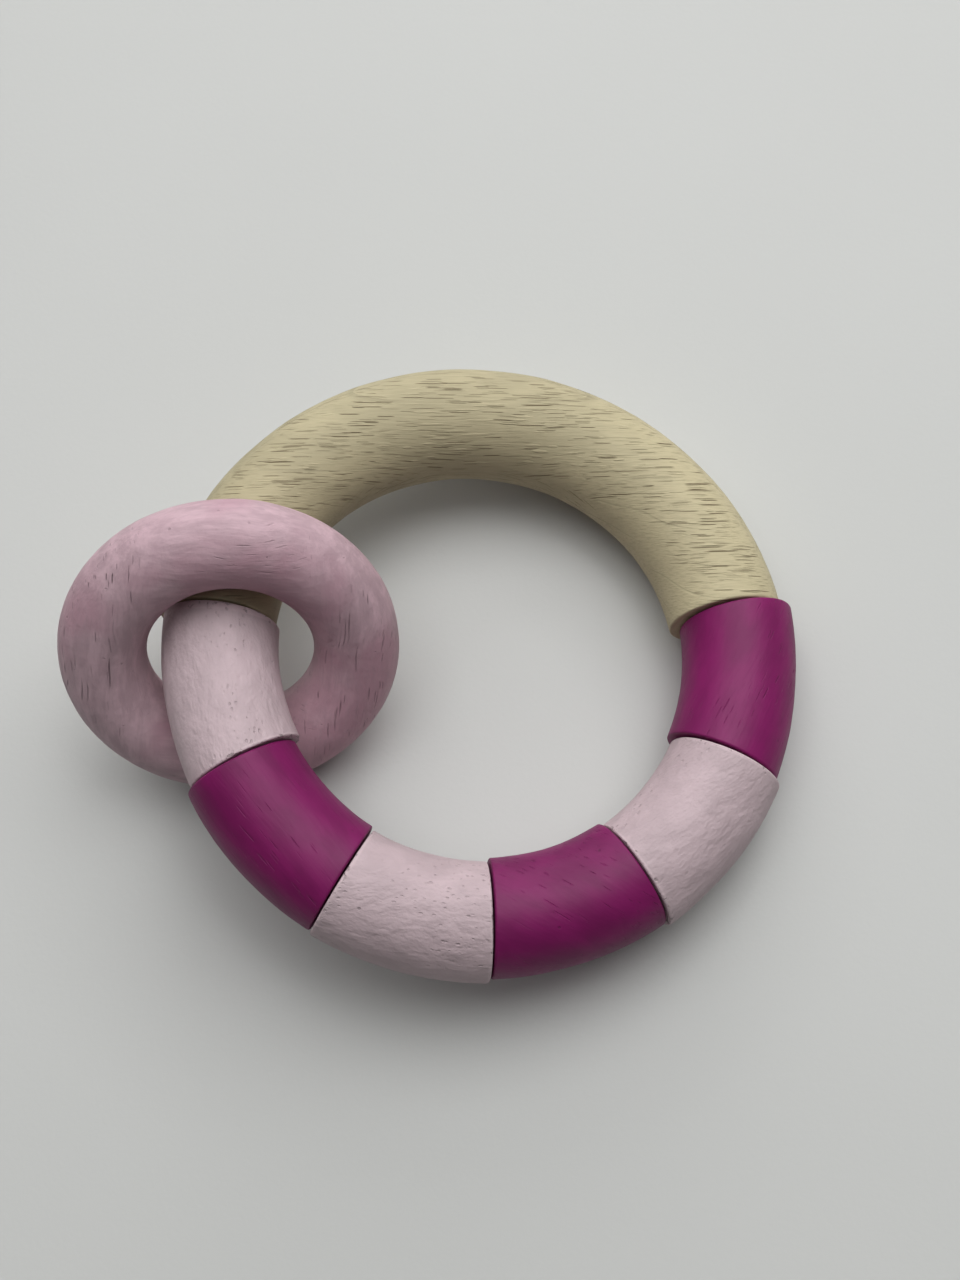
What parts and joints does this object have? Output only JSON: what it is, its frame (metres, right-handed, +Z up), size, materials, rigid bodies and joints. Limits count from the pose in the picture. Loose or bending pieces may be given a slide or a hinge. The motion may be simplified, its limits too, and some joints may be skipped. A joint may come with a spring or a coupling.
{
  "type": "wooden rattle teether",
  "caption": "Round wooden baby teether: a natural half ring closed by painted segments on hidden elastic, with a smaller loose ring linked round it that knocks as a rattle.",
  "frame": {"origin": "middle of the footprint on the table that the teether lies on", "axes": "+Z up, +X along its length away from the loose ring, +Y towards the natural half ring"},
  "size_m": [0.1042, 0.0916, 0.0409],
  "materials": {
    "natural_beech": "bare sanded beech with short dark pores",
    "magenta_paint": "matt magenta paint",
    "pale_pink_paint": "matt pale pink paint",
    "dusty_pink_paint": "thin matt dusty pink paint with the grain showing",
    "white_elastic": "braided round elastic",
    "plug_beech": "bare dowel"
  },
  "bodies": {
    "half_ring": {"beech_half_ring": "natural_beech", "left_anchor_plug": "plug_beech", "right_anchor_plug": "plug_beech", "elastic_cord": "white_elastic"},
    "segment_1": {"segment_1_magenta": "magenta_paint"},
    "segment_2": {"segment_2_pale_pink": "pale_pink_paint"},
    "segment_3": {"segment_3_magenta": "magenta_paint"},
    "segment_4": {"segment_4_pale_pink": "pale_pink_paint"},
    "segment_5": {"segment_5_magenta": "magenta_paint"},
    "segment_6": {"segment_6_pale_pink": "pale_pink_paint"},
    "loose_ring": {"loose_ring": "dusty_pink_paint"}
  },
  "joints": [
    {"name": "segment_1_pull", "type": "slide", "parent": "half_ring", "child": "segment_1", "axis": [0.9685, -0.1925, -0.1583], "range_m": [0, 0.004], "stiffness_N_per_m": 150, "deforming": ["elastic_cord"]},
    {"name": "segment_2_pull", "type": "slide", "parent": "half_ring", "child": "segment_2", "axis": [0.73, -0.668, -0.1448], "range_m": [0, 0.004], "stiffness_N_per_m": 150, "deforming": ["elastic_cord"]},
    {"name": "segment_3_pull", "type": "slide", "parent": "half_ring", "child": "segment_3", "axis": [0.2525, -0.9584, -0.133], "range_m": [0, 0.004], "stiffness_N_per_m": 150, "deforming": ["elastic_cord"]},
    {"name": "segment_4_pull", "type": "slide", "parent": "half_ring", "child": "segment_4", "axis": [-0.2965, -0.9542, -0.0402], "range_m": [0, 0.004], "stiffness_N_per_m": 150, "deforming": ["elastic_cord"]},
    {"name": "segment_5_pull", "type": "slide", "parent": "half_ring", "child": "segment_5", "axis": [-0.7469, -0.6566, 0.1049], "range_m": [0, 0.004], "stiffness_N_per_m": 150, "deforming": ["elastic_cord"]},
    {"name": "segment_6_pull", "type": "slide", "parent": "half_ring", "child": "segment_6", "axis": [-0.9694, -0.1775, 0.1694], "range_m": [0, 0.001], "stiffness_N_per_m": 150, "deforming": ["elastic_cord"]},
    {"name": "loose_ring_travel", "type": "hinge", "parent": "half_ring", "child": "loose_ring", "pos_m": [0.00598, 0.00079, 0.01521], "axis": [-0.1667, -0.0903, -0.9819], "range_deg": [0, 145]}
  ]
}
